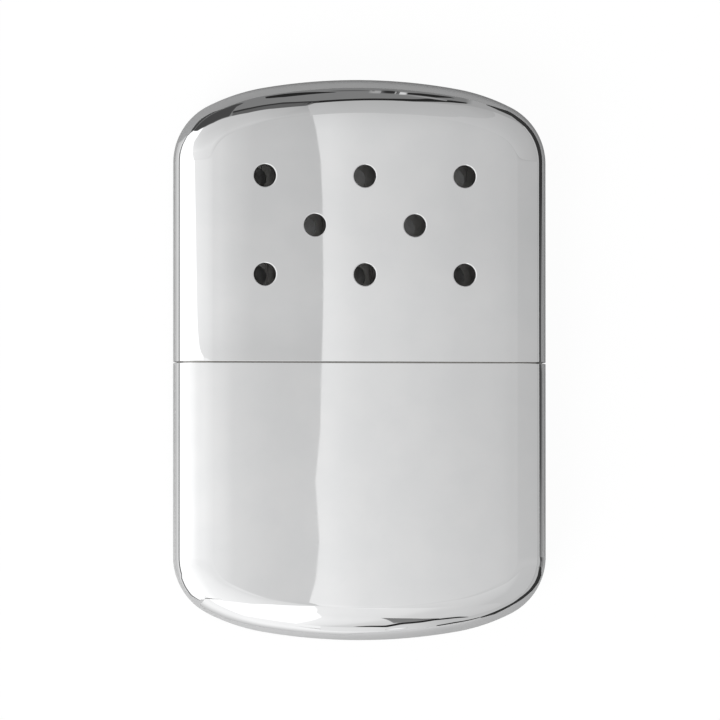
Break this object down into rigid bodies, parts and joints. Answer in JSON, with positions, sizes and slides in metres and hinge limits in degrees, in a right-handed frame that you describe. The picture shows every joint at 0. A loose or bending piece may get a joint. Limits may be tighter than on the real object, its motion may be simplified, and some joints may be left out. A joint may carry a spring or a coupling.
{
  "type": "catalytic hand warmer",
  "caption": "Pocket catalytic hand warmer: a polished metal fuel tank and a vented lid that pulls off a collar, over a filler neck and a push-on burner.",
  "frame": {"origin": "middle of the case's outline, on its flat back face", "axes": "+X to the right seen from the front, +Y along the case towards the crown of the lid, +Z out of the front face, so the warmer lies on its back"},
  "size_m": [0.067, 0.1002, 0.014],
  "materials": {
    "case_chrome": "mirror polished chrome plate",
    "inner_nickel": "plated, lightly rubbed by the lid",
    "burner_steel": "satin plate, slightly heat tinted",
    "screen_steel": "perforated plate",
    "solder": "dull solder",
    "cotton": "loose fibre",
    "glass_cloth": "woven glass",
    "platinum_mat": "matted fibre"
  },
  "bodies": {
    "tank": {"tank_shell": "case_chrome", "tank_collar": "inner_nickel", "collar_solder": "solder", "filler_neck": "inner_nickel", "neck_solder": "solder", "cotton_wad_upper_left": "cotton", "cotton_wad_upper_right": "cotton", "cotton_wad_lower_left": "cotton", "cotton_wad_lower_right": "cotton", "cotton_wad_bottom": "cotton", "cotton_mouth_plug": "cotton"},
    "burner": {"burner_skirt": "burner_steel", "burner_cage": "burner_steel", "screen_frame": "burner_steel", "vapour_screen": "screen_steel", "catalyst_cloth": "glass_cloth", "catalyst_mat": "platinum_mat"},
    "lid": {"lid_shell": "case_chrome"}
  },
  "joints": [
    {"name": "lid_slide", "type": "slide", "parent": "tank", "child": "lid", "axis": [0, 1, 0], "range_m": [0, 0.06]},
    {"name": "burner_slide", "type": "slide", "parent": "tank", "child": "burner", "axis": [0, 1, 0], "range_m": [0, 0.02]}
  ]
}
